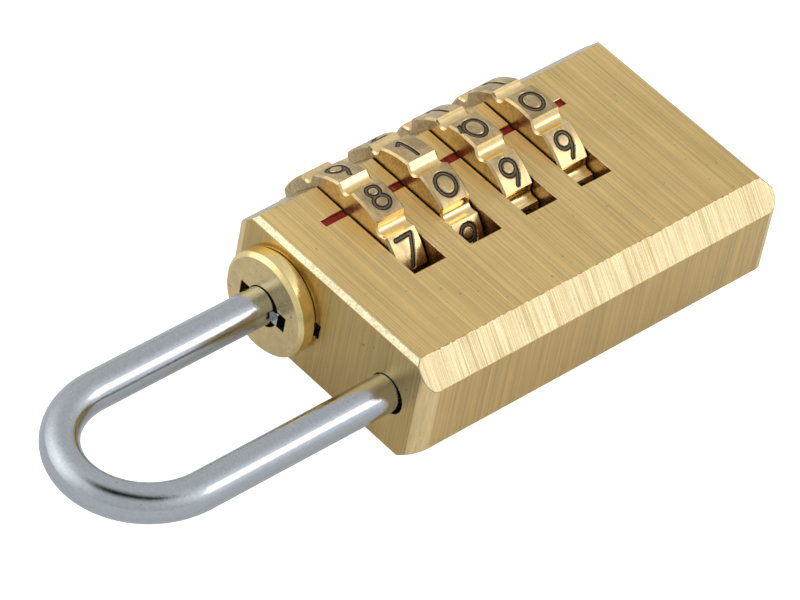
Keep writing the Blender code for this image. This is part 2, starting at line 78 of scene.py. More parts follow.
# ---------------------------------------------------------------- places taken from the frame
JOINTS = {joint["name"]: joint for joint in frame["record"]["behaviour"]["joints"]}
BODY_LOW, BODY_HIGH = (Vector(corner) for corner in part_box("body"))
SHACKLE_LOW, SHACKLE_HIGH = (Vector(corner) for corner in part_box("shackle"))
RING_BOX = [Vector(corner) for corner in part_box("shackle_stop_ring")]
DIAL_BOXES = [
    [Vector(corner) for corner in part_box(f"dial_{n + 1}")] for n in range(DIAL_COUNT)
]
AXIS_Z = (SHACKLE_LOW.z + SHACKLE_HIGH.z) / 2
DIAL_X = JOINTS["dial_1_turn"]["pos_m"][0]
FRONT_Z = BODY_HIGH.z
SHACKLE_END = BODY_LOW.y

# ---------------------------------------------------------------- dimensions shared with the CAD
DIAL_RADIUS = 6.52 * MM
DIAL_HALF_WIDTH = 1.36 * MM
DIGITS = 10
DIGIT_STEP = math.tau / DIGITS
PAD_HALF_ANGLE = math.radians(12.1)
DIAL_BORE_RADIUS = 3.6 * MM
DIAL_NOTCH_RADIUS = 4.2 * MM
DIAL_NOTCH_HALF_WIDTH = 0.6 * MM
DIAL_RELIEF_RADIUS = 4.25 * MM
CLUTCH_PLANE = -0.05 * MM
DIAL_REST_DEGREES = (11.8, 22.8, -2.0, -0.8)
PAD_NUMBERS = (8, 0, 0, 0)
INDEX_X = -5.21 * MM
INDEX_WIDTH = 0.64 * MM
INDEX_DEPTH = 0.15 * MM
INDEX_LENGTH = 26.3 * MM
LEG_RADIUS = 1.39 * MM
LEG_X = SHACKLE_LOW.x + LEG_RADIUS
LEG_CHAMFER = 0.3 * MM
BEND_RATIO = 1.12
PLAIN_LEG_END = 4.2 * MM
LUG_LENGTH = 1.2 * MM
LUG_HALF_WIDTH = 0.5 * MM
LUG_ROOT = 0.7 * MM
TOP_LUG = (-1.7 * MM, 1.8 * MM)
LUG_REACH = 2.2 * MM
LUG_DEPTH_IN_SLEEVE = 2.15 * MM
STOP_GROOVE_RADIUS = 1.0 * MM


# ---------------------------------------------------------------- material helpers
class Graph:
    """A small builder for node trees."""

    def __init__(self, tree):
        self.tree = tree

    def add(self, kind, inputs=None, **settings):
        node = self.tree.nodes.new(kind)
        for key, value in settings.items():
            setattr(node, key, value)
        for key, value in (inputs or {}).items():
            self.put(node.inputs[key], value)
        return node

    def put(self, socket, value):
        if isinstance(value, bpy.types.NodeSocket):
            self.tree.links.new(value, socket)
        else:
            socket.default_value = value

    def maths(self, operation, *values, clamp=False):
        node = self.add("ShaderNodeMath", operation=operation, use_clamp=clamp)
        for socket, value in zip(node.inputs, values):
            self.put(socket, value)
        return node.outputs[0]

    def weighted(self, *parts):
        """The sum of (value, weight) pairs."""
        total = None
        for value, weight in parts:
            term = self.maths("MULTIPLY", value, weight)
            total = term if total is None else self.maths("ADD", total, term)
        return total

    def stretch(self, vector, scale, rotation=(0, 0, 0)):
        node = self.add(
            "ShaderNodeMapping", {"Vector": vector, "Scale": scale, "Rotation": rotation}
        )
        return node.outputs[0]

    def noise(self, vector, scale=1.0, detail=3.0, roughness=0.5, distortion=0.0):
        node = self.add(
            "ShaderNodeTexNoise",
            {
                "Vector": vector,
                "Scale": scale,
                "Detail": detail,
                "Roughness": roughness,
                "Distortion": distortion,
            },
        )
        return node.outputs["Fac"]

    def span(self, value, low, high, out_low=0.0, out_high=1.0):
        """Maps low..high to out_low..out_high, clamped."""
        node = self.add(
            "ShaderNodeMapRange",
            {
                "Value": value,
                "From Min": low,
                "From Max": high,
                "To Min": out_low,
                "To Max": out_high,
            },
        )
        return node.outputs["Result"]

    def mix(self, factor, a, b, blend="MIX"):
        node = self.add("ShaderNodeMix", data_type="RGBA", blend_type=blend)
        self.put(node.inputs["Factor"], factor)
        self.put(node.inputs["A"], a)
        self.put(node.inputs["B"], b)
        return node.outputs["Result"]

    def bump(self, height, strength, normal=None):
        node = self.add(
            "ShaderNodeBump", {"Height": height, "Strength": strength, "Distance": BUMP_DEPTH}
        )
        if normal is not None:
            self.put(node.inputs["Normal"], normal)
        return node.outputs[0]


def new_material(name):
    material = bpy.data.materials.new(name)
    material.use_nodes = True
    tree = material.node_tree
    tree.nodes.clear()
    graph = Graph(tree)
    shader = graph.add("ShaderNodeBsdfPrincipled")
    output = graph.add("ShaderNodeOutputMaterial")
    tree.links.new(shader.outputs[0], output.inputs["Surface"])
    return material, graph, shader


def rgba(colour):
    return (*colour, 1.0)


def scaled(colour, factor):
    return rgba(tuple(min(1.0, part * factor) for part in colour))


def brushed_metal(
    name,
    colour,
    roughness,
    grain,
    contrast,
    relief,
    slant=(0.0, 0.0, 0.0),
    along=None,
    anisotropic=0.0,
    pits=0.0,
    light=None,
):
    """Metal with long scratches at three scales.

    grain is in cycles per millimetre on each axis, and slant turns it. contrast sets the
    tones either side of colour, unless light gives the bright one, a painted highlight colour.
    along is the direction of an anisotropic sheen, and pits is how dark the small spots are.
    """
    material, graph, shader = new_material(name)
    place = graph.add("ShaderNodeTexCoord").outputs["Object"]

    def scratches(factor, turn, detail):
        scale = tuple(1000 * part * factor for part in grain)
        turned = tuple(part * turn for part in slant)
        return graph.noise(graph.stretch(place, scale, turned), 1.0, detail, 0.62)

    fine = scratches(1.6, 1.0, 3.0)
    middle = scratches(0.7, 0.8, 3.0)
    broad = scratches(0.22, 1.2, 4.0)
    cloud = graph.noise(place, 260.0, 3.0, 0.5)
    tone = graph.weighted((fine, 0.56), (middle, 0.40), (broad, 0.14), (cloud, 0.14))
    shade = graph.span(tone, 0.49, 0.75)
    bright = rgba(light) if light else scaled(colour, 1.0 + contrast)
    base = graph.mix(shade, scaled(colour, 1.0 - contrast), bright)
    rough = graph.span(middle, 0.3, 0.7, roughness * 0.78, roughness * 1.25)
    height = graph.weighted((fine, 0.6), (middle, 0.8), (broad, 0.5))
    normal = graph.bump(height, relief)
    if pits:
        spots = graph.noise(place, 2600.0, 2.0, 0.5)
        mask = graph.maths("MULTIPLY", graph.span(spots, 0.70, 0.76), pits)
        base = graph.mix(mask, base, scaled(colour, 0.35))
        normal = graph.bump(graph.maths("SUBTRACT", 1.0, mask), 0.4, normal)
    graph.put(shader.inputs["Base Color"], base)
    shader.inputs["Metallic"].default_value = 1.0
    graph.put(shader.inputs["Roughness"], rough)
    graph.put(shader.inputs["Normal"], normal)
    if along is not None:
        shader.inputs["Anisotropic"].default_value = anisotropic
        surface = graph.add("ShaderNodeNewGeometry").outputs["Normal"]
        cross = graph.add("ShaderNodeVectorMath", operation="CROSS_PRODUCT")
        graph.put(cross.inputs[0], surface)
        cross.inputs[1].default_value = along
        graph.put(shader.inputs["Tangent"], cross.outputs[0])
    return material


BRASS = (0.79, 0.565, 0.235)
# a brighter, warmer copy of the brass for the collar's round sides, painted light
COLLAR_LIT_BRASS = (0.97, 0.75, 0.34)

# the body's faces, the dials' sides and the collar's sides are lit and shaded copies of one brass,
# coloured for how the light falls on them: painted light and shade, along with their own brushing
MATERIALS = {
    "front": brushed_metal(
        "brass_front", BRASS, 0.37,
        grain=(0.05, 7.0, 0.05), contrast=0.20, relief=0.9,
        slant=(0, 0, 0.03), along=(1, 0, 0), anisotropic=0.75, pits=0.5,
    ),
    # the sides: a darker copy of the brass, painted shade
    "side": brushed_metal(
        "brass_side", (0.70, 0.50, 0.208), 0.34,
        grain=(0.03, 6.0, 0.05), contrast=0.19, relief=0.8,
        slant=(0.16, 0, 0), along=(0, 0, 1), anisotropic=0.6, pits=0.4,
    ),
    # the chamfers: darker brass streaked with a pale copy, a painted highlight over the real
    # brushing
    "chamfer": brushed_metal(
        "brass_chamfer", (0.562, 0.426, 0.201), 0.27,
        grain=(0.05, 5.5, 0.05), contrast=0.34, relief=1.2,
        slant=(0.10, 0, 0.03), along=(1, 0, 0), anisotropic=0.5, pits=0.2,
        light=(0.731, 0.623, 0.384),
    ),
    # the rounded corners: a lighter copy of the brass, a painted highlight band
    "corner": brushed_metal(
        "brass_corner", (0.87, 0.67, 0.34), 0.32,
        grain=(3.0, 3.0, 0.3), contrast=0.12, relief=0.6,
        slant=(0, 0.1, 0), pits=0.3,
    ),
    # the ends: a darker copy of the brass, painted shade
    "end": brushed_metal(
        "brass_end", (0.61, 0.44, 0.182), 0.34,
        grain=(9.5, 0.03, 0.06), contrast=0.18, relief=0.7,
        slant=(0, 0.12, 0), along=(0, 0, 1), anisotropic=0.5, pits=0.5,
    ),
    "edge": brushed_metal(
        "brass_edge", (0.84, 0.70, 0.44), 0.28,
        grain=(4.0, 4.0, 4.0), contrast=0.30, relief=1.5,
    ),
    # inside the slots and bores: a darker copy of the brass, painted shade
    "inside": brushed_metal(
        "brass_inside", (0.56, 0.40, 0.20), 0.30,
        grain=(2.0, 2.0, 6.0), contrast=0.30, relief=0.5,
    ),
    "dial": brushed_metal(
        "brass_flute", (0.88, 0.665, 0.32), 0.22,
        grain=(2.0, 1.0, 2.0), contrast=0.12, relief=0.3,
    ),
    # the dials' sides down in the slots: a darker copy of the brass, painted shade
    "dial_side": brushed_metal(
        "brass_dial_side", (0.56, 0.43, 0.24), 0.30,
        grain=(3.0, 3.0, 3.0), contrast=0.26, relief=0.6,
    ),
    "collar": brushed_metal(
        "brass_collar", (0.77, 0.60, 0.305), 0.24,
        grain=(1.2, 1.2, 1.2), contrast=0.10, relief=0.3,
        pits=0.9,
    ),
    # the collar's round sides: a brighter, warmer copy of the collar brass, painted light
    "collar_side": brushed_metal(
        "brass_collar_side", COLLAR_LIT_BRASS, 0.22,
        grain=(0.8, 6.0, 0.8), contrast=0.12, relief=0.3,
    ),
    "sleeve": brushed_metal(
        "brass_sleeve", (0.78, 0.56, 0.27), 0.34,
        grain=(1.0, 6.0, 1.0), contrast=0.12, relief=0.3,
    ),
    "chrome": brushed_metal(
        "chrome", (0.48, 0.51, 0.532), 0.16,
        grain=(3.5, 3.5, 3.5), contrast=0.06, relief=0.30,
        pits=0.3,
    ),
    "spring": brushed_metal(
        "spring_steel", (0.40, 0.41, 0.43), 0.30,
        grain=(3.0, 3.0, 3.0), contrast=0.12, relief=0.2,
    ),
    "zinc": brushed_metal(
        "zinc_steel", (0.58, 0.59, 0.60), 0.38,
        grain=(2.0, 2.0, 2.0), contrast=0.10, relief=0.3,
    ),
}


def painted(name, colour, worn):
    """Filled-in paint with a few worn streaks."""
    material, graph, shader = new_material(name)
    place = graph.add("ShaderNodeTexCoord").outputs["Object"]
    streaks = graph.noise(graph.stretch(place, (1500.0, 5000.0, 1500.0)), 1.0, 3.0, 0.6)
    blotch = graph.noise(place, 2200.0, 3.0, 0.6)
    mask = graph.span(graph.weighted((streaks, 1.0), (blotch, 0.4)), 0.78, 0.92)
    shade = graph.mix(blotch, scaled(colour, 0.55), scaled(colour, 1.35))
    graph.put(shader.inputs["Base Color"], graph.mix(mask, shade, rgba(worn)))
    shader.inputs["Metallic"].default_value = 0.0
    shader.inputs["Specular IOR Level"].default_value = 0.25
    graph.put(shader.inputs["Roughness"], graph.span(blotch, 0.3, 0.7, 0.45, 0.7))
    graph.put(shader.inputs["Normal"], graph.bump(blotch, 0.3))
    return material


MATERIALS["index"] = painted("index_paint", (0.33, 0.016, 0.006), (0.40, 0.14, 0.06))


# ---------------------------------------------------------------- mesh helpers
def link(name, mesh):
    obj = bpy.data.objects.new(name, mesh)
    bpy.context.scene.collection.objects.link(obj)
    return obj


def mesh_from(builder, name):
    mesh = bpy.data.meshes.new(name)
    builder.to_mesh(mesh)
    builder.free()
    return mesh


def apply_modifiers(obj):
    depsgraph = bpy.context.evaluated_depsgraph_get()
    mesh = bpy.data.meshes.new_from_object(obj.evaluated_get(depsgraph))
    obj.modifiers.clear()
    old = obj.data
    obj.data = mesh
    bpy.data.meshes.remove(old)


def level_normals(mesh, angle):
    """Shades big faces flat and blends the narrow ones between them, by area."""
    limit = math.cos(math.radians(angle))
    faces_at = [[] for _ in mesh.vertices]
    for polygon in mesh.polygons:
        for vertex in polygon.vertices:
            faces_at[vertex].append(polygon.index)
    facing = [polygon.normal.copy() for polygon in mesh.polygons]
    areas = [polygon.area for polygon in mesh.polygons]
    normals = []
    for polygon in mesh.polygons:
        own = facing[polygon.index]
        for vertex in polygon.vertices:
            total = Vector()
            for other in faces_at[vertex]:
                if facing[other].dot(own) > limit:
                    total += facing[other] * areas[other]
            normals.append(total.normalized() if total.length > 0 else own)
    mesh.shade_smooth()
    mesh.normals_split_custom_set(normals)


def bevel_edges(builder, width, segments, angle=30, handled=lambda face: True):
    """Rounds the edges sharper than the angle a little, as handling does, beside handled faces."""
    limit = math.radians(angle)
    sharp = [
        edge
        for edge in builder.edges
        if len(edge.link_faces) == 2
        and edge.calc_face_angle() > limit
        and any(handled(face) for face in edge.link_faces)
    ]
    bmesh.ops.bevel(
        builder,
        geom=sharp,
        offset=width,
        offset_type="OFFSET",
        segments=segments,
        affect="EDGES",
        profile=0.5,
        clamp_overlap=False,
    )
    bmesh.ops.remove_doubles(builder, verts=builder.verts, dist=WELD)


def cad_copy(node):
    """A clean copy of a CAD node's mesh, with its flat faces whole again."""
    builder = bmesh.new()
    builder.from_mesh(bpy.data.objects[node].data)
    bmesh.ops.remove_doubles(builder, verts=builder.verts, dist=WELD)
    bmesh.ops.dissolve_limit(
        builder, angle_limit=math.radians(0.4), verts=builder.verts, edges=builder.edges
    )
    bmesh.ops.recalc_face_normals(builder, faces=builder.faces)
    return builder


def finish_piece(obj, body, node):
    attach(obj, body)
    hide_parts(node)


# ---------------------------------------------------------------- body
# how far in from the body's outline its chamfers, rounded corners and frayed borders reach
CHAMFER_BAND = 1.77 * MM
CORNER_BAND = 0.95 * MM
BORDER_BAND = 1.9 * MM
NEAR = 0.02 * MM
EDGE_WIDTH = 0.04 * MM
SLIVER = 0.02 * MM
SAW_PITCH = 0.11 * MM
SAW_DEPTH = 0.018 * MM
LONG_EDGE = 2 * MM
BIG_FACE = 5 * MM * MM


def body_material(centre, normal):
    """Which brass a face of the body gets, from where it is and the way it faces: besides its own
    brushing, each way of facing has its own lit or shaded copy of the brass colour, painted light
    and shade.
    """
    across_index = abs(centre.x - INDEX_X) < INDEX_WIDTH / 2 + NEAR
    in_index = FRONT_Z - INDEX_DEPTH - NEAR < centre.z < FRONT_Z - NEAR
    if across_index and in_index and centre.y < SHACKLE_END + INDEX_LENGTH:
        return "index"
    outer = (
        centre.z > FRONT_Z - 0.001 * MM
        or centre.z < -FRONT_Z + 0.001 * MM
        or abs(centre.x) > BODY_HIGH.x - CHAMFER_BAND
        or centre.y < SHACKLE_END + 0.05 * MM
        or centre.y > BODY_HIGH.y - CORNER_BAND
    )
    if not outer:
        in_bevel = centre.y < SHACKLE_END + 0.4 * MM and normal.z > 0.5
        return "edge" if in_bevel else "inside"
    # the rounded corners take the lighter copy of the brass, a painted highlight band
    if abs(normal.z) < 0.3 and abs(normal.x) > 0.1 and abs(normal.y) > 0.06:
        return "corner"
    if abs(normal.y) > 0.8:
        inner = SHACKLE_END + 0.1 * MM < centre.y < BODY_HIGH.y - 0.1 * MM
        return "inside" if inner else "end"
    if abs(normal.z) > 0.9:
        return "front"
    if abs(normal.y) > 0.5 and abs(normal.z) > 0.5:
        return "edge"
    if abs(normal.x) > 0.9:
        return "side"
    return "chamfer"


def outside(face):
    """Whether a face of the body can be seen, so that its edges are worn round."""
    return body_material(face.calc_center_median(), face.normal) not in ("inside", "index")


def rough_edges(builder):
    """Cuts the long borders of the chamfers into short steps, for fray to move."""
    for edge in list(builder.edges):
        a, b = (vertex.co for vertex in edge.verts)
        if abs((b - a).normalized().y) < 0.99 or edge.calc_length() < LONG_EDGE:
            continue
        if abs(a.x) < BODY_HIGH.x - BORDER_BAND or len(edge.link_faces) != 2:
            continue
        cuts = int(edge.calc_length() / SAW_PITCH)
        bmesh.ops.subdivide_edges(builder, edges=[edge], cuts=cuts)


def fray(builder):
    """Frays the beveled borders as brushing across them does, and keeps the faces flat."""
    along = Vector((0, 1, 0))
    for vertex in builder.verts:
        point = vertex.co
        if abs(point.x) < BODY_HIGH.x - BORDER_BAND:
            continue
        if not SHACKLE_END + 0.9 * MM < point.y < BODY_HIGH.y - 1.0 * MM:
            continue
        widest = max(vertex.link_faces, key=lambda face: face.calc_area())
        if abs(widest.normal.y) > 0.1 or widest.calc_area() < BIG_FACE:
            continue
        inwards = along.cross(widest.normal).normalized()
        if inwards.dot(widest.calc_center_median() - point) < 0:
            inwards.negate()
        bite = max(0.0, rng.normal(0.2, 0.7))
        shift = rng.uniform(-0.3, 0.3) * SAW_PITCH
        vertex.co = point + inwards * (SAW_DEPTH * min(bite, 2.0)) + along * shift


def make_body():
    builder = cad_copy("body")
    bmesh.ops.remove_doubles(builder, verts=builder.verts, dist=SLIVER)
    bmesh.ops.recalc_face_normals(builder, faces=builder.faces)
    rough_edges(builder)
    bevel_edges(builder, EDGE_WIDTH, 1, handled=outside)
    fray(builder)
    builder.normal_update()
    body = link("body_shell", mesh_from(builder, "body_shell"))
    level_normals(body.data, angle=26)
    # the faces get lit and shaded copies of the brass by the way they face: painted light and
    # shade
    names = ["front", "side", "chamfer", "end", "corner", "edge", "inside", "index"]
    for name in names:
        body.data.materials.append(MATERIALS[name])
    for polygon in body.data.polygons:
        polygon.material_index = names.index(body_material(polygon.center, polygon.normal))
    finish_piece(body, "case", "body")


# ---------------------------------------------------------------- dials
def arc_points(centre, radii, start, end, steps=20):
    points = []
    for i in range(steps + 1):
        turn = math.radians(start + (end - start) * i / steps)
        points.append(
            (centre[0] + radii[0] * math.cos(turn), centre[1] + radii[1] * math.sin(turn))
        )
    return points


# strokes of each number, in millimetres on its pad: right, then up
STROKES = {
    0: [arc_points((0, 0), (0.66, 0.74), 0, 360, 40)],
    1: [[(0.05, -0.85), (0.05, 0.85), (-0.30, 0.55)]],
    2: [arc_points((0, 0.35), (0.52, 0.48), 165, -30) + [(-0.52, -0.85), (0.55, -0.85)]],
    3: [
        arc_points((0, 0.42), (0.46, 0.42), 150, -80),
        arc_points((0, -0.40), (0.54, 0.46), 85, -150),
    ],
    4: [[(0.25, -0.85), (0.25, 0.85), (-0.60, -0.30), (0.60, -0.30)]],
    5: [
        [(0.48, 0.82), (-0.38, 0.82), (-0.44, 0.10)]
        + arc_points((0, -0.30), (0.54, 0.52), 130, -140)
    ],
    6: [
        arc_points((0, -0.32), (0.56, 0.52), 0, 360, 32),
        [(-0.56, -0.25), (-0.45, 0.25), (0.10, 0.86)],
    ],
    7: [[(-0.52, 0.74), (0.50, 0.78), (0.02, -0.86)]],
    8: [
        arc_points((0, 0.44), (0.44, 0.40), 0, 360, 32),
        arc_points((0, -0.40), (0.54, 0.45), 0, 360, 32),
    ],
    9: [
        arc_points((-0.04, 0.30), (0.52, 0.52), 0, 360, 32),
        [(0.47, 0.25), (0.40, -0.20), (0.06, -0.86)],
    ],
}
STRAY_STROKE = [(-0.86, 0.10), (-0.84, 0.34), (-0.70, 0.62)]
STROKE_HALF_WIDTH = 0.185
STROKE_WALL_IN, STROKE_WALL_OUT = 0.06, 0.03
CORE_START, CORE_END = 0.02, 0.10
ENGRAVING_DEPTH = 0.09
NUMBER_SCALE = 1.17
SEVEN_SCALE = 1.34
EIGHT_OFFSET = (0.12, 0.24)
NUMBER_JITTER = 0.03


def distance_to(strokes, right, up):
    """Distance from each grid point to the nearest stroke."""
    best = np.full(right.shape, 9.0)
    for stroke in strokes:
        for (ax, ay), (bx, by) in zip(stroke, stroke[1:]):
            dx, dy = bx - ax, by - ay
            along = ((right - ax) * dx + (up - ay) * dy) / (dx * dx + dy * dy)
            along = np.clip(along, 0, 1)
            best = np.minimum(best, np.hypot(right - ax - along * dx, up - ay - along * dy))
    return best


def smooth(low, high, value):
    part = np.clip((value - low) / (high - low), 0, 1)
    return part * part * (3 - 2 * part)


PAD_CELLS = 52
FLUTE_CELLS = 24
WIDTH_CELLS = 50
FLUTE_LIP = 0.08 * MM
FLUTE_HOLLOW = 0.42 * MM
FLUTE_LEDGE = 0.88
SIDE_BEVEL = 0.15 * MM
PAD, SIDE, FLUTE = range(3)


def dial_rim():
    """Angles round the rim from the first pad's middle, and how deep the flute is at each."""
    angles, depths, pad_of = [], [], []
    half = DIGIT_STEP / 2 - PAD_HALF_ANGLE
    for digit in range(DIGITS):
        for i in range(PAD_CELLS):
            angles.append(digit * DIGIT_STEP - PAD_HALF_ANGLE + 2 * PAD_HALF_ANGLE * i / PAD_CELLS)
            depths.append(0.0)
            pad_of.append(digit)
        for i in range(FLUTE_CELLS):
            part = -1 + 2 * i / FLUTE_CELLS
            angles.append(digit * DIGIT_STEP + DIGIT_STEP / 2 + half * part)
            lip = smooth(0.0, 0.08, np.array(1 - abs(part)))
            hollow = 1 - (abs(part) / FLUTE_LEDGE) ** 2.2 if abs(part) < FLUTE_LEDGE else 0.0
            depths.append(float(FLUTE_LIP * lip + FLUTE_HOLLOW * hollow))
            pad_of.append(-1)
    return np.array(angles), np.array(depths), np.array(pad_of)


def notched_ring():
    """Points of the dial's notched bore as (radius, turn), clockwise from +Z towards +X."""
    half_turn = math.asin(DIAL_NOTCH_HALF_WIDTH / DIAL_BORE_RADIUS)
    outer_turn = math.asin(DIAL_NOTCH_HALF_WIDTH / DIAL_NOTCH_RADIUS)
    outer = DIAL_NOTCH_RADIUS / math.cos(outer_turn) * 0.998
    points = []
    for digit in range(DIGITS):
        middle = math.pi / 2 + digit * DIGIT_STEP
        points.append((DIAL_BORE_RADIUS, middle - half_turn))
        points.append((outer, middle - outer_turn))
        points.append((outer, middle + outer_turn))
        points.append((DIAL_BORE_RADIUS, middle + half_turn))
        land = DIGIT_STEP - 2 * half_turn
        for part in (0.33, 0.67):
            points.append((DIAL_BORE_RADIUS, middle + half_turn + land * part))
    return points


def zip_rings(builder, outer, outer_turns, inner, inner_turns):
    """Joins two rings of the same plane, both sorted by angle, with triangles."""
    i = j = 0
    faces = []
    while i < len(outer) or j < len(inner):
        next_outer = outer_turns[i + 1] if i + 1 < len(outer) else outer_turns[0] + math.tau
        next_inner = inner_turns[j + 1] if j + 1 < len(inner) else inner_turns[0] + math.tau
        take_outer = j >= len(inner) or (i < len(outer) and next_outer <= next_inner)
        a, b = outer[i % len(outer)], inner[j % len(inner)]
        if take_outer:
            faces.append(builder.faces.new((a, outer[(i + 1) % len(outer)], b)))
            i += 1
        else:
            faces.append(builder.faces.new((a, inner[(j + 1) % len(inner)], b)))
            j += 1
    return faces


def sorted_ring(vertices):
    """Vertices of a ring round the dial's axis, and their turns, from the least turn up."""
    turns = [math.atan2(v.co.x - DIAL_X, v.co.z - AXIS_Z) % math.tau for v in vertices]
    order = sorted(range(len(vertices)), key=lambda k: turns[k])
    return [vertices[k] for k in order], [turns[k] for k in order]


def engraving(index, turn_grid, width_grid, pad_of):
    """How far each point of the rim is cut, and how near a stroke's middle it is, 0 to 1."""
    ink = np.zeros_like(width_grid)
    core = np.zeros_like(width_grid)
    for digit in range(DIGITS):
        rows = np.where(pad_of == digit)[0]
        number = (PAD_NUMBERS[index] - digit) % DIGITS
        up = -(turn_grid[rows] - digit * DIGIT_STEP) * DIAL_RADIUS / MM
        right = width_grid[rows] / MM
        strokes = list(STROKES[number])
        if index == 2 and number == 0:
            strokes.append(STRAY_STROKE)
        offset = rng.normal(0, NUMBER_JITTER, 2)
        if index == 0 and number == 8:
            offset += EIGHT_OFFSET
        size = SEVEN_SCALE if number == 7 else NUMBER_SCALE
        distance = size * distance_to(strokes, (right - offset[0]) / size, (up - offset[1]) / size)
        wall = (STROKE_HALF_WIDTH - STROKE_WALL_IN, STROKE_HALF_WIDTH + STROKE_WALL_OUT)
        ink[rows] = 1 - smooth(*wall, distance)
        core[rows] = 1 - smooth(CORE_START, CORE_END, distance)
    return ink, core


def add_rim(builder, grid, pad_of):
    """The faces between a dial's rim vertices, with the flutes apart from the pads."""
    for i, row in enumerate(grid):
        following = grid[(i + 1) % len(grid)]
        for j in range(len(row) - 1):
            face = builder.faces.new((row[j], following[j], following[j + 1], row[j + 1]))
            face.material_index = FLUTE if pad_of[i] < 0 else PAD


def add_bore(builder, centre_y):
    """The notched bore and its round relief. Gives the rings at the dial's two sides."""
    ring = notched_ring()

    def ring_at(offset, round_radius=None):
        return [
            builder.verts.new(
                (
                    DIAL_X + (round_radius or radius) * math.sin(turn),
                    centre_y + offset,
                    AXIS_Z + (round_radius or radius) * math.cos(turn),
                )
            )
            for radius, turn in ring
        ]

    rings = [
        ring_at(-DIAL_HALF_WIDTH),
        ring_at(CLUTCH_PLANE),
        ring_at(CLUTCH_PLANE, DIAL_RELIEF_RADIUS),
        ring_at(DIAL_HALF_WIDTH, DIAL_RELIEF_RADIUS),
    ]
    for a, b in zip(rings, rings[1:]):
        for i in range(len(a)):
            j = (i + 1) % len(a)
            builder.faces.new((a[i], a[j], b[j], b[i])).material_index = SIDE
    return rings[0], rings[-1]


def make_dial(index):
    low, high = DIAL_BOXES[index]
    centre_y = (low.y + high.y) / 2
    angles, depths, pad_of = dial_rim()
    flat_half = DIAL_HALF_WIDTH - SIDE_BEVEL
    across = np.linspace(-flat_half, flat_half, WIDTH_CELLS + 1)
    across = np.concatenate([[-DIAL_HALF_WIDTH], across, [DIAL_HALF_WIDTH]])
    turn_grid, width_grid = np.meshgrid(angles, across, indexing="ij")
    ink, core = engraving(index, turn_grid, width_grid, pad_of)
    radius = DIAL_RADIUS - depths[:, None] * np.ones_like(width_grid)
    radius -= np.clip(np.abs(width_grid) - flat_half, 0, SIDE_BEVEL)
    radius -= ENGRAVING_DEPTH * MM * ink
    turns = turn_grid + math.radians(DIAL_REST_DEGREES[index])
    x = DIAL_X + radius * np.sin(turns)
    y = centre_y + width_grid
    z = AXIS_Z + radius * np.cos(turns)
    builder = bmesh.new()
    ink_layer = builder.verts.layers.float.new("ink")
    core_layer = builder.verts.layers.float.new("core")
    grid = []
    for i in range(len(angles)):
        row = []
        for j in range(len(across)):
            vertex = builder.verts.new((x[i, j], y[i, j], z[i, j]))
            vertex[ink_layer] = ink[i, j]
            vertex[core_layer] = core[i, j]
            row.append(vertex)
        grid.append(row)
    add_rim(builder, grid, pad_of)
    first_ring, last_ring = add_bore(builder, centre_y)
    for inner, column in ((first_ring, 0), (last_ring, -1)):
        outer = [row[column] for row in grid]
        for face in zip_rings(builder, *sorted_ring(outer), *sorted_ring(inner)):
            face.material_index = SIDE
    bmesh.ops.recalc_face_normals(builder, faces=builder.faces)
    name = f"number_dial_{index + 1}"
    dial = link(name, mesh_from(builder, name))
    dial.data.shade_smooth()
    dial.data.set_sharp_from_angle(angle=math.radians(32))
    # the dials' sides take the darker copy of the brass, painted shade
    for material in ("pad", "dial_side", "dial"):
        dial.data.materials.append(MATERIALS[material])
    finish_piece(dial, f"dial_{index + 1}", f"dial_{index + 1}")


def pad_material():
    """Worn dial brass, with dark paint round the edges of the engraving."""
    material, graph, shader = new_material("brass_pad")
    place = graph.add("ShaderNodeTexCoord").outputs["Object"]
    fine = graph.noise(graph.stretch(place, (900.0, 6500.0, 900.0)), 1.0, 3.0, 0.6)
    cloud = graph.noise(place, 1100.0, 4.0, 0.65)
    stain = graph.noise(place, 420.0, 4.0, 0.6, 0.6)
    tone = graph.weighted((fine, 0.4), (cloud, 0.6))
    shade = graph.span(tone, 0.36, 0.64)
    base = graph.mix(shade, rgba((0.52, 0.37, 0.17)), rgba((0.76, 0.58, 0.30)))
    base = graph.mix(graph.span(stain, 0.46, 0.66, 0.0, 0.7), base, rgba((0.30, 0.22, 0.125)))
    ink = graph.add("ShaderNodeAttribute", attribute_name="ink").outputs["Fac"]
    core = graph.add("ShaderNodeAttribute", attribute_name="core").outputs["Fac"]
    speck = graph.noise(place, 5200.0, 3.0, 0.6)
    filled = graph.span(graph.weighted((ink, 1.0), (speck, -0.35)), 0.12, 0.55)
    worn = graph.maths("MULTIPLY", core, graph.span(speck, 0.2, 0.55, 0.25, 1.0))
    paint = graph.mix(worn, rgba((0.020, 0.014, 0.009)), rgba((0.20, 0.155, 0.10)))
    shader.inputs["Specular IOR Level"].default_value = 0.15
    graph.put(shader.inputs["Base Color"], graph.mix(filled, base, paint))
    graph.put(shader.inputs["Metallic"], graph.span(filled, 0.0, 1.0, 1.0, 0.15))
    rough = graph.span(cloud, 0.3, 0.7, 0.20, 0.36)
    graph.put(shader.inputs["Roughness"], graph.weighted((rough, 1.0), (filled, 0.2)))
    height = graph.weighted((fine, 1.0), (cloud, 1.2))
    graph.put(shader.inputs["Normal"], graph.bump(height, 0.4))
    return material


MATERIALS["pad"] = pad_material()


# ---------------------------------------------------------------- collar
COLLAR_EDGE = 0.035 * MM


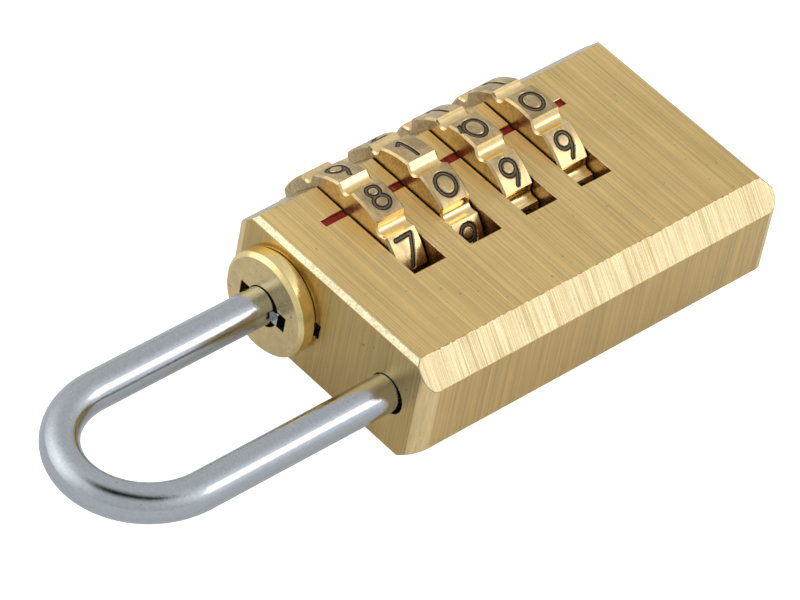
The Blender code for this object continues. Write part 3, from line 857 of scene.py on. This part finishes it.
def make_collar():
    builder = cad_copy("collar")
    in_the_open = SHACKLE_END - 0.05 * MM
    bevel_edges(
        builder, COLLAR_EDGE, 2, handled=lambda face: face.calc_center_median().y < in_the_open
    )
    collar = link("collar_bush", mesh_from(builder, "collar_bush"))
    level_normals(collar.data, angle=35)
    for name in ("collar", "collar_side"):
        collar.data.materials.append(MATERIALS[name])
    # the round sides take a brighter, warmer copy of the brass, painted light
    for polygon in collar.data.polygons:
        flat = abs(polygon.normal.y) > 0.9
        polygon.material_index = 0 if flat else 1
    finish_piece(collar, "case", "collar")


# ---------------------------------------------------------------- shackle
BEND_STEPS = 96
BAR_SIDES = 72


def shackle_stations():
    """(point, radius) along the bar: up the long leg, round the bend and down the plain leg."""
    ring_low, ring_high = (corner.y for corner in RING_BOX)
    gap, step = 0.05 * MM, 0.01 * MM
    top, bottom = SHACKLE_LOW.y, SHACKLE_HIGH.y
    plain_x = SHACKLE_HIGH.x - LEG_RADIUS
    bend_radius = (plain_x - LEG_X) / 2
    bend_height = bend_radius * BEND_RATIO
    bend_y = top + LEG_RADIUS + bend_height
    stations = [
        (LEG_X, bottom, LEG_RADIUS - LEG_CHAMFER),
        (LEG_X, bottom - LEG_CHAMFER, LEG_RADIUS),
        (LEG_X, ring_high + gap + step, LEG_RADIUS),
        (LEG_X, ring_high + gap, STOP_GROOVE_RADIUS),
        (LEG_X, ring_low - gap, STOP_GROOVE_RADIUS),
        (LEG_X, ring_low - gap - step, LEG_RADIUS),
    ]
    for i in range(BEND_STEPS + 1):
        turn = math.pi * i / BEND_STEPS
        x = (LEG_X + plain_x) / 2 - bend_radius * math.cos(turn)
        stations.append((x, bend_y - bend_height * math.sin(turn), LEG_RADIUS))
    end = SHACKLE_END + PLAIN_LEG_END
    stations.append((plain_x, end - LEG_CHAMFER, LEG_RADIUS))
    stations.append((plain_x, end, LEG_RADIUS - LEG_CHAMFER))
    return stations


def sweep(builder, stations, sides):
    """A capped round bar in the plane of the shackle."""
    rings = []
    for i, (x, y, radius) in enumerate(stations):
        before, after = stations[max(i - 1, 0)], stations[min(i + 1, len(stations) - 1)]
        tangent = Vector((after[0] - before[0], after[1] - before[1], 0)).normalized()
        side = Vector((tangent.y, -tangent.x, 0))
        ring = []
        for k in range(sides):
            turn = math.tau * k / sides
            offset = side * (radius * math.cos(turn)) + Vector((0, 0, radius * math.sin(turn)))
            ring.append(builder.verts.new(Vector((x, y, AXIS_Z)) + offset))
        rings.append(ring)
    for ring, following in zip(rings, rings[1:]):
        for k in range(sides):
            j = (k + 1) % sides
            builder.faces.new((ring[k], ring[j], following[j], following[k]))
    builder.faces.new(rings[0])
    builder.faces.new(rings[-1][::-1])


BOX_FACES = (
    (0, 1, 3, 2), (4, 6, 7, 5), (0, 4, 5, 1), (2, 3, 7, 6), (0, 2, 6, 4), (1, 5, 7, 3),
)


def add_box(builder, low, high):
    corners = [
        builder.verts.new((x, y, z))
        for z in (low[2], high[2])
        for y in (low[1], high[1])
        for x in (low[0], high[0])
    ]
    for face in BOX_FACES:
        builder.faces.new([corners[k] for k in face])


def make_shackle():
    builder = bmesh.new()
    sweep(builder, shackle_stations(), BAR_SIDES)
    bmesh.ops.recalc_face_normals(builder, faces=builder.faces)
    shackle = link("shackle_bar", mesh_from(builder, "shackle_bar"))
    lugs = bmesh.new()
    places = [(SHACKLE_END + TOP_LUG[0], TOP_LUG[1])]
    for n in range(DIAL_COUNT):
        sleeve_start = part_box(f"clutch_sleeve_{n + 1}")[0][1]
        places.append((sleeve_start + LUG_DEPTH_IN_SLEEVE, LUG_REACH))
    for y, reach in places:
        low = (LEG_X + LUG_ROOT, y, AXIS_Z - LUG_HALF_WIDTH)
        add_box(lugs, low, (LEG_X + reach, y + LUG_LENGTH, AXIS_Z + LUG_HALF_WIDTH))
    bmesh.ops.recalc_face_normals(lugs, faces=lugs.faces)
    tool = link("lugs", mesh_from(lugs, "lugs"))
    union = shackle.modifiers.new("lugs", "BOOLEAN")
    union.operation = "UNION"
    union.solver = "EXACT"
    union.object = tool
    apply_modifiers(shackle)
    bpy.data.objects.remove(tool, do_unlink=True)
    shackle.data.shade_smooth()
    shackle.data.set_sharp_from_angle(angle=math.radians(35))
    shackle.data.materials.clear()
    shackle.data.materials.append(MATERIALS["chrome"])
    finish_piece(shackle, "shackle", "shackle")


# ---------------------------------------------------------------- return spring
def make_return_spring():
    """The coil, in its CAD shape; the real one shortens as its seat slides towards the bottom of
    the bore.
    """
    coil = link("return_coil", mesh_from(cad_copy("return_spring"), "return_coil"))
    coil.data.shade_smooth()
    coil.data.set_sharp_from_angle(angle=math.radians(75))
    coil.data.materials.clear()
    coil.data.materials.append(MATERIALS["spring"])
    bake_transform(coil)
    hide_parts("return_spring")


# ---------------------------------------------------------------- all the pieces
make_body()
for dial_index in range(DIAL_COUNT):
    make_dial(dial_index)
make_collar()
make_shackle()
make_return_spring()

# the pieces inside the lock keep their CAD shape
CARRIED_OVER = {
    "collar_key": "zinc",
    "collar_pin": "zinc",
    "spring_seat": "zinc",
    "shackle_stop_ring": "spring",
}
for n in range(DIAL_COUNT):
    CARRIED_OVER[f"clutch_sleeve_{n + 1}"] = "sleeve"
    CARRIED_OVER[f"detent_spring_{n + 1}"] = "spring"
for node, material in CARRIED_OVER.items():
    for slot in bpy.data.objects[node].material_slots:
        slot.material = MATERIALS[material]


# ---------------------------------------------------------------- floor, lights and camera
FLOOR_SIZE = 1.6
FLOOR_GAP = 0.02 * MM


def make_floor():
    """A pale floor just under the lock, which glows so that it shows nearly white."""
    builder = bmesh.new()
    low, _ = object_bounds()
    bmesh.ops.create_grid(builder, x_segments=1, y_segments=1, size=FLOOR_SIZE)
    bmesh.ops.translate(builder, verts=builder.verts, vec=(0, 0, low.z - FLOOR_GAP))
    floor = link("floor", mesh_from(builder, "floor"))
    material = bpy.data.materials.new("pale_floor")
    material.use_nodes = True
    tree = material.node_tree
    tree.nodes.clear()
    graph = Graph(tree)
    card = graph.add("ShaderNodeBsdfDiffuse", {"Color": (0.78, 0.79, 0.80, 1.0)})
    seen = graph.add("ShaderNodeLightPath").outputs["Is Camera Ray"]
    strength = graph.span(seen, 0.0, 1.0, 0.08, 0.90)
    glow = graph.add("ShaderNodeEmission", {"Color": (1, 1, 1, 1), "Strength": strength})
    both = graph.add("ShaderNodeAddShader")
    tree.links.new(card.outputs[0], both.inputs[0])
    tree.links.new(glow.outputs[0], both.inputs[1])
    output = graph.add("ShaderNodeOutputMaterial")
    tree.links.new(both.outputs[0], output.inputs["Surface"])
    floor.data.materials.append(material)


KEY_DIRECTION = (0.61, 0.56, 0.51)
FILL_DIRECTION = (-0.72, -0.50, 0.42)
LIT_POINT = Vector((0.0, -0.025, 0.0))


def make_world():
    """A soft grey dome, with a glow each side of the lock and two dark patches overhead."""
    world = bpy.data.worlds.new("studio")
    bpy.context.scene.world = world
    world.use_nodes = True
    tree = world.node_tree
    tree.nodes.clear()
    graph = Graph(tree)
    way = graph.add("ShaderNodeTexCoord").outputs["Generated"]
    height = graph.add("ShaderNodeSeparateXYZ", {"Vector": way}).outputs["Z"]
    ramp = graph.add("ShaderNodeValToRGB", {"Fac": graph.span(height, -0.1, 1.0)})
    stops = ramp.color_ramp.elements
    stops[0].position, stops[0].color = 0.09, (0.72, 0.73, 0.75, 1)
    stops[1].position, stops[1].color = 1.0, (0.66, 0.675, 0.69, 1)
    for position, level in ((0.16, 0.66), (0.28, 0.62), (0.55, 0.68)):
        stop = stops.new(position)
        stop.color = (level, level * 1.015, level * 1.04, 1)

    def lobe(direction, sharpness, level):
        node = graph.add("ShaderNodeVectorMath", {"Vector": way}, operation="DOT_PRODUCT")
        node.inputs[1].default_value = Vector(direction).normalized()
        near = graph.maths("MAXIMUM", node.outputs["Value"], 0.0)
        return graph.maths("MULTIPLY", graph.maths("POWER", near, sharpness), level)

    gap = graph.maths(
        "ADD", lobe((0.00, -0.24, 0.97), 24.0, 1.15), lobe((0.36, -0.03, 0.93), 50.0, 1.0)
    )
    glow = graph.maths("ADD", lobe(KEY_DIRECTION, 7.0, 1.0), lobe(FILL_DIRECTION, 5.0, 1.5))
    glow = graph.maths("ADD", glow, 1.0)
    level = graph.maths("MULTIPLY", graph.maths("SUBTRACT", 1.0, gap, clamp=True), glow)
    seen = graph.add("ShaderNodeLightPath").outputs["Is Camera Ray"]
    lit = graph.add("ShaderNodeVectorMath", {"Vector": ramp.outputs["Color"]}, operation="SCALE")
    graph.put(lit.inputs["Scale"], level)
    shown = graph.mix(seen, lit.outputs[0], rgba((1.0, 1.0, 1.0)))
    background = graph.add("ShaderNodeBackground", {"Color": shown, "Strength": 1.0})
    output = graph.add("ShaderNodeOutputWorld")
    tree.links.new(background.outputs[0], output.inputs["Surface"])


def softbox(name, direction, distance, size, radiance):
    """A soft panel that faces the lock from a direction, as bright as asked."""
    light = bpy.data.lights.new(name, "AREA")
    light.shape = "RECTANGLE"
    light.size, light.size_y = size
    light.energy = radiance * math.pi * size[0] * size[1]
    obj = bpy.data.objects.new(name, light)
    away = Vector(direction).normalized()
    obj.location = LIT_POINT + away * distance
    obj.rotation_euler = (-away).to_track_quat("-Z", "Z").to_euler()
    bpy.context.scene.collection.objects.link(obj)


# the photograph's viewpoint, fitted to the straight edges of the body
CAMERA_ANGLES = (39.878, 43.476, 11.740)
CAMERA_PLACE = (0.184007, -0.247722, 0.272249)
CAMERA_SENSOR = 36.0
CAMERA_LENS = 260.3
CAMERA_SHIFT = 0.010


def make_camera():
    azimuth, elevation, roll = (math.radians(angle) for angle in CAMERA_ANGLES)
    back = Vector(
        (
            math.sin(azimuth) * math.cos(elevation),
            -math.cos(azimuth) * math.cos(elevation),
            math.sin(elevation),
        )
    )
    right = Vector((math.cos(azimuth), math.sin(azimuth), 0))
    up = back.cross(right)
    camera_x = math.cos(roll) * right + math.sin(roll) * up
    camera_y = -math.sin(roll) * right + math.cos(roll) * up
    turned = Matrix((camera_x, camera_y, back)).transposed().to_4x4()
    data = bpy.data.cameras.new("camera")
    data.sensor_width = CAMERA_SENSOR
    data.lens = CAMERA_LENS
    data.shift_x = CAMERA_SHIFT
    data.clip_start, data.clip_end = 0.01, 10.0
    camera = bpy.data.objects.new("camera", data)
    camera.matrix_world = Matrix.Translation(CAMERA_PLACE) @ turned
    bpy.context.scene.collection.objects.link(camera)
    bpy.context.scene.camera = camera


make_floor()
make_world()
softbox("key", KEY_DIRECTION, distance=0.55, size=(0.24, 0.24), radiance=1.6)
make_camera()
bpy.context.scene.view_settings.view_transform = "Standard"
